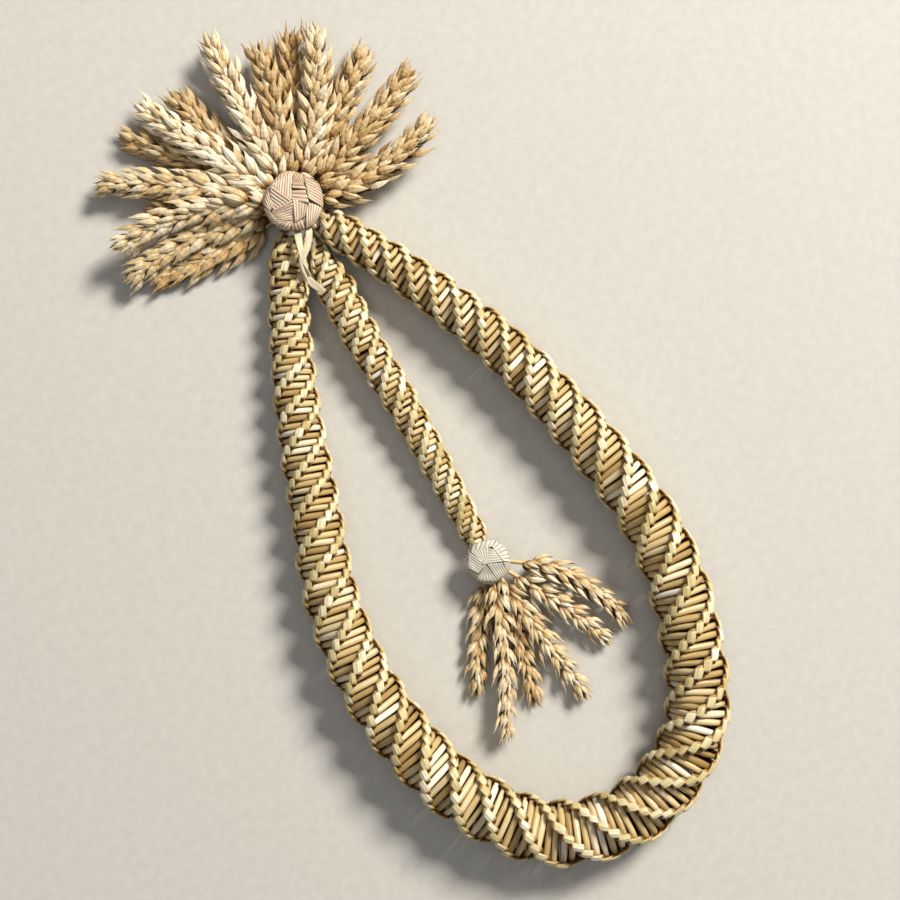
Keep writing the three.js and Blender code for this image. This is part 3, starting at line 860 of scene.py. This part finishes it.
def ribbonDome(shape, centre):
    # The rolled rim under the folds: a low round cushion whose radius follows a quarter-round
    # profile, ribbed outward with a swirl.
    profile = np.vstack([[[0.02, 0.0], [0.5, 0.0], [0.8, 0.0], [0.94, 0.1]], cushionProfile])
    sides = shape["ribs"] * 4
    turn = np.arange(sides) / sides * 2 * math.pi
    rib = np.abs(np.sin(turn * shape["ribs"] / 2))
    lobe = 1 - np.cos(turn * shape["lobes"] + shape["lobeTurn"])
    scallop = 1 - ribbonShape["scallop"] * lobe / 2
    level, height = profile[:, :1], profile[:, 1:]
    swirl = turn[None, :] + ribbonShape["swirl"] * height
    reachNow = level * shape["radius"] * scallop + ribbonShape["rib"] * rib * (level > 0.5)
    heightNow = np.broadcast_to(shape["bottom"] + height * shape["height"], reachNow.shape)
    rings = np.stack([centre[0] + reachNow * np.cos(swirl), centre[1] + reachNow * np.sin(swirl),
                      heightNow], -1)
    # painted shade between the ribs
    return gridPart(rings[:, ::-1], profile[:, 1] * 10, np.linspace(0, 12, sides + 1),
                    tone=np.full((1, 1), 0.45), groove=rib[::-1][None, :])


bigKnot = {
    "radius": 15.0, "bottom": 17.8, "height": 9.0, "splintShare": 0.75, "ribDepth": 0.42,
    "ribs": 46, "lobes": 5, "lobeTurn": 0.6,
}
smallKnot = {
    "radius": 11.2, "bottom": 11.6, "height": 6.6, "splintShare": 0.72, "ribDepth": 0.24,
    "ribs": 34, "lobes": 3, "lobeTurn": 0.2,
}
knotTurn = -27.0  # degrees from the ornament's own axes to the ones the folds are given in


def knotPoint(shape, spot):
    # Turns a place given across and up (mm) and a height share into the knot's frame.
    across, up, lift = spot
    c, s = turned(knotTurn)
    return [across * c - up * s, across * s + up * c, shape["bottom"] + shape["height"] * lift]


# Folds: four corners (across, up, height share), splints, bulge, tone. The lines run from the
# first corner to the second; the last two corners are the edge that lies over its neighbour.
bigFolds = [
    ([(-15.4, -1.8, 0.30), (-11.2, -5.4, 0.62), (-9.4, -4.2, 0.80), (-10.9, 7.1, 0.62)], 7, 0.2, 0.5),
    ([(-15.2, -2.9, 0.25), (-10.1, -6.5, 0.60), (-5.0, -11.5, 0.62), (-11.2, -12.0, 0.22)], 9, 0.3, 0.62),
    ([(-11.5, -11.7, 0.22), (-5.0, -9.9, 0.60), (0.4, -10.6, 0.62), (-1.8, -15.1, 0.24)], 7, 0.3, 0.5),
    ([(-0.4, -15.1, 0.24), (-1.2, -10.0, 0.62), (4.7, -9.9, 0.66), (6.7, -15.0, 0.26)], 5, 0.3, 0.3),
    ([(-9.5, 8.6, 0.55), (-10.7, 5.9, 0.66), (-0.2, -0.8, 1.02), (-0.1, 13.8, 0.62)], 10, 0.5, 0.55),
    ([(-0.9, 8.0, 0.72), (1.3, 13.9, 0.50), (7.6, 12.6, 0.55), (5.9, 8.0, 0.80)], 8, 0.4, 0.2),
    ([(4.0, 14.3, 0.45), (7.2, 15.1, 0.36), (11.6, 11.4, 0.42), (6.6, 11.6, 0.68)], 4, 0.6, 0.8),
    ([(5.4, 12.7, 0.70), (14.6, 8.5, 0.55), (16.6, -4.4, 0.50), (8.0, 0.4, 0.98)], 11, 0.7, 0.3),
    ([(0.0, 8.5, 0.86), (5.1, 8.5, 0.96), (7.2, 4.6, 1.02), (-0.2, 5.4, 0.94)], 2, 0.3, 0.42),
    ([(-0.2, 4.4, 0.92), (6.6, 4.6, 1.02), (8.5, -2.2, 1.06), (-0.4, -0.6, 0.98)], 4, 0.4, 0.5),
    ([(15.9, -3.4, 0.50), (12.4, -11.8, 0.40), (6.8, -15.3, 0.45), (6.6, -1.2, 0.94)], 9, 0.4, 0.62),
    ([(8.2, -0.6, 0.96), (6.3, -8.2, 0.78), (1.3, -11.2, 0.82), (0.3, -0.4, 1.04)], 7, 0.6, 0.6),
    ([(-6.9, -10.9, 0.46), (2.9, -9.6, 0.70), (0.0, -0.5, 1.06), (-10.3, -5.5, 0.78)], 9, 0.6, 0.5),
    ([(-10.7, -3.6, 0.66), (-6.0, -7.4, 0.76), (-0.2, -0.4, 1.08), (-10.9, 7.2, 0.84)], 8, 0.4, 0.64),
]
smallFolds = [
    ([(-8.9, 4.6, 0.66), (-8.2, 9.2, 0.40), (4.2, 11.8, 0.44), (1.8, 7.7, 0.84)], 7, 0.6, 0.62),
    ([(1.7, 7.7, 0.84), (4.4, 11.7, 0.42), (12.2, -0.3, 0.46), (7.6, 0.4, 0.90)], 9, 0.7, 0.6),
    ([(-9.0, 5.1, 0.70), (-2.1, -0.9, 1.00), (-0.4, -0.8, 1.00), (0.0, 7.8, 0.85)], 8, 0.5, 0.55),
    ([(7.3, 0.0, 0.88), (9.5, -6.3, 0.50), (12.0, -4.2, 0.44), (11.6, 0.2, 0.50)], 5, 0.4, 0.4),
    ([(-0.8, -0.9, 1.00), (4.6, -9.5, 0.48), (9.8, -6.0, 0.46), (6.9, -0.2, 0.92)], 8, 0.5, 0.5),
    ([(-3.2, -1.2, 1.02), (7.4, 0.3, 0.94), (2.6, 6.4, 0.88), (0.0, 7.0, 0.86)], 8, 0.5, 0.5),
    ([(-10.8, -2.6, 0.50), (-4.9, -5.8, 0.74), (-1.2, -0.9, 1.04), (-9.6, 5.0, 0.78)], 9, 0.4, 0.78),
    ([(-1.9, -1.6, 1.04), (-6.9, -10.2, 0.48), (4.7, -9.6, 0.46), (-0.9, -1.6, 1.08)], 9, 0.4, 0.62),
]
for name, shape, folds, centre, ribbon in (
        ("big_knot", bigKnot, bigFolds, tieMiddle, bigRibbon),
        ("small_knot", smallKnot, smallFolds, lowerMiddle, smallRibbon)):
    parts = [ribbonDome(shape, centre)]
    for corners, splints, bulge, tone in folds:
        corners = [knotPoint(shape, p) for p in corners]
        parts.append(ribbonFold(corners, splints, bulge, tone, shape, centre))
    buildPiece(name + "_ribbon", parts, ribbon, [name])
print("knots made")


# --- loose ends of the band ---

tailShape = {"width": 3.7, "thick": 0.8, "steps": 40, "taper": 0.25, "taperFrom": 0.85}
# Waypoints in mm from the tie, then the roll at both ends in degrees.
tailRoutes = {
    "short_tail": ([[-4.2, -12, 17], [-5.4, -15.6, 20.2], [-7.2, -22, 24], [-9.2, -29, 24],
                    [-9.6, -37, 22]], [-20, 130]),
    "long_tail": ([[0.5, -12.4, 16.9], [0.3, -16.2, 18.9], [-3.4, -22, 19.3], [-9.4, -28, 19.6],
                   [-11, -37, 19.2], [-6.6, -47, 19.4]], [40, -15]),
}
for node, (waypoints, roll) in tailRoutes.items():
    # A flat strip along a curve; its outward side turns evenly from the first roll to the last.
    route = smoothRoute(waypoints) + np.array([tieMiddle[0], tieMiddle[1], 0])
    far = distanceAlong(route)
    where = np.linspace(0, far[-1], tailShape["steps"])
    points = readAt(where, far, route)
    tangent = unit(np.gradient(points, axis=0))
    level = unit(np.cross(tangent, [0, 0, 1.0]))
    upright = np.cross(level, tangent)
    c, s = turned(np.linspace(roll[0], roll[1], len(where)))
    outward = upright * c[:, None] - level * s[:, None]
    ending = smoothStep((where / far[-1] - tailShape["taperFrom"]) / 0.15)
    half = np.full(len(where), tailShape["width"] / 2) * (1 - tailShape["taper"] * ending)
    halfThick = np.full(len(where), tailShape["thick"] / 2)
    strip = sweepStrand(points, outward, half, halfThick, 5.0, 16, tone=0.6, groove=1.0)
    buildPiece(node + "_ribbon", [strip], tailRibbon, [node])
print("tails made")


# --- bound stalks under the knots ---

bindings = {
    "top_binding": {"radius": 7.5, "height": 17.2, "turns": 15, "threadRadius": 0.6},
    "lower_binding": {"radius": 4.1, "height": 11.0, "turns": 10, "threadRadius": 0.55},
}
bundle = {"stalkRadius": 1.3, "gap": 1.1, "round": 9, "short": 0.3, "rows": 6}
for node, shape in bindings.items():
    # A thread wound round and round: a helix just inside the binding's radius, a little narrower
    # half way up, and a ring of stalks inside it.
    centre = middleOf(node)
    turns = shape["turns"]
    t = np.linspace(0, 1, turns * 20 + 1)
    angle = t * turns * 2 * math.pi
    reachNow = (shape["radius"] - shape["threadRadius"]) * (0.93 + 0.07 * np.cos(2 * math.pi * t))
    height = shape["threadRadius"] + t * (shape["height"] - 2 * shape["threadRadius"])
    points = np.column_stack([
        centre[0] + reachNow * np.cos(angle), centre[1] + reachNow * np.sin(angle), height])
    outward = np.column_stack([np.cos(angle), np.sin(angle), np.zeros_like(angle)])
    thick = np.full(len(t), shape["threadRadius"])
    parts = [sweepStrand(points, outward, thick * 1.05, thick, 2.0, 8, tone=0.4, reach=0.5)]
    buildPiece(node + "_thread", parts, thread, [node])
    stalks = []
    ringRadius = shape["radius"] - 2 * shape["threadRadius"] - bundle["gap"]
    spots = [(0.0, 0.0)] + [(ringRadius * math.cos(a), ringRadius * math.sin(a))
                            for a in np.linspace(0, 2 * math.pi, bundle["round"], endpoint=False)]
    rows = bundle["rows"]
    half = np.full(rows, bundle["stalkRadius"])
    for x, y in spots:
        z = np.linspace(0.0, shape["height"] - bundle["short"], rows)
        points = np.column_stack([np.full(rows, centre[0] + x), np.full(rows, centre[1] + y), z])
        outward = np.tile([1.0, 0.0, 0.0], (rows, 1))
        stalks.append(sweepStrand(points, outward, half, half, 2.0, 10, tone=0.4, reach=0.5))
    buildPiece(node + "_stalks", stalks, wheat, [node])
print("bindings made")
